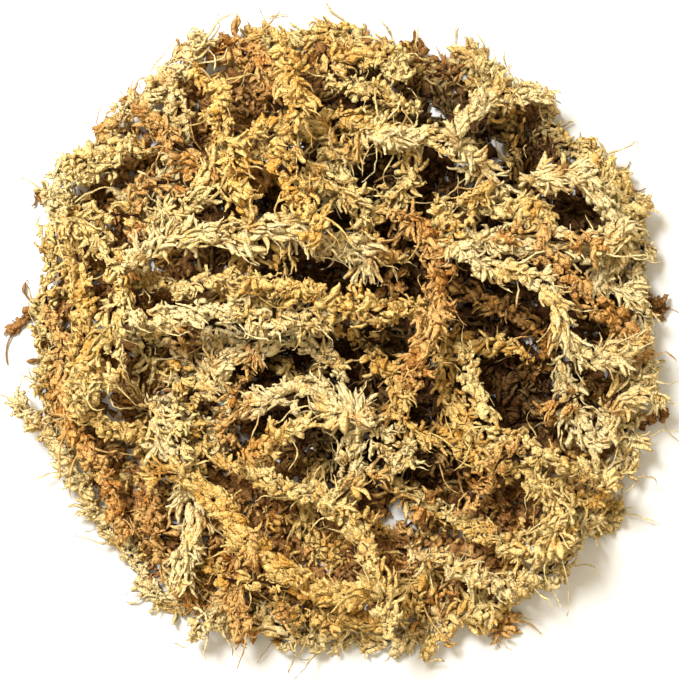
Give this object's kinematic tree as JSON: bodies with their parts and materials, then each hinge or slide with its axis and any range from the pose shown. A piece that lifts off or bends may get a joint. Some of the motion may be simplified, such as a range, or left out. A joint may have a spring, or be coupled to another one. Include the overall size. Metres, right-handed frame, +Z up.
{
  "type": "dried sphagnum moss clump",
  "caption": "Loose round tangle of dried, pale gold sphagnum moss stems clothed in small pointed branches, with knobbly heads, for dressing pots and displays.",
  "frame": {"origin": "middle of the clump's box, on the surface that it rests on", "axes": "+Z up through the clump's height, +Y towards the edge that is uppermost in the picture"},
  "size_m": [0.1858, 0.1928, 0.04],
  "materials": {
    "cream": "dry, bleached, matt",
    "straw": "dry, pale straw, matt",
    "golden": "dry, golden brown, matt",
    "russet": "dry, orange brown, matt",
    "umber": "dry, dark brown, matt"
  },
  "bodies": {
    "root": {"low_west_east": "umber", "low_south_sweep": "umber", "low_north_sweep": "umber", "low_north_south": "russet", "rim_west": "straw", "rim_south_west": "cream", "rusty_south_west": "russet", "rim_south": "cream", "rim_south_east": "straw", "rim_east_south": "cream", "rim_east": "cream", "rim_north_east": "straw", "rim_north": "straw", "rim_north_west": "russet", "rim_west_north": "cream", "russet_west": "russet", "brown_west": "golden", "south_rope": "golden", "dark_south_west": "russet", "curl_east": "russet", "brown_south_middle": "golden", "hook_south_middle": "golden", "rosette_chain": "cream", "pale_east_row": "golden", "brown_south_east": "golden", "north_west_pale": "cream", "north_west_russet": "russet", "west_knob": "straw", "feathered_west": "straw", "long_north_row": "golden", "north_drop": "golden", "north_rosette": "straw", "spiral_north": "straw", "pale_spur": "cream", "north_east_bough": "golden", "feathered_east": "cream", "pale_east_rope": "straw", "curly_east": "cream", "bleached_east": "cream", "left_ribbon": "cream", "pale_middle": "cream", "fan_middle": "cream", "golden_west_row": "straw", "broad_west": "straw", "brown_bend": "straw", "cream_middle_row": "cream", "cream_thread_row": "cream", "north_pillar": "golden", "golden_rope": "golden", "russet_pillar": "russet", "loop_east": "cream", "broad_east": "russet", "diagonal_east": "straw", "south_east_loop": "straw", "pale_south_east": "cream", "south_west_strand": "cream", "golden_bundle": "golden", "pale_south": "straw", "pale_thread_east": "cream"}
  },
  "joints": []
}
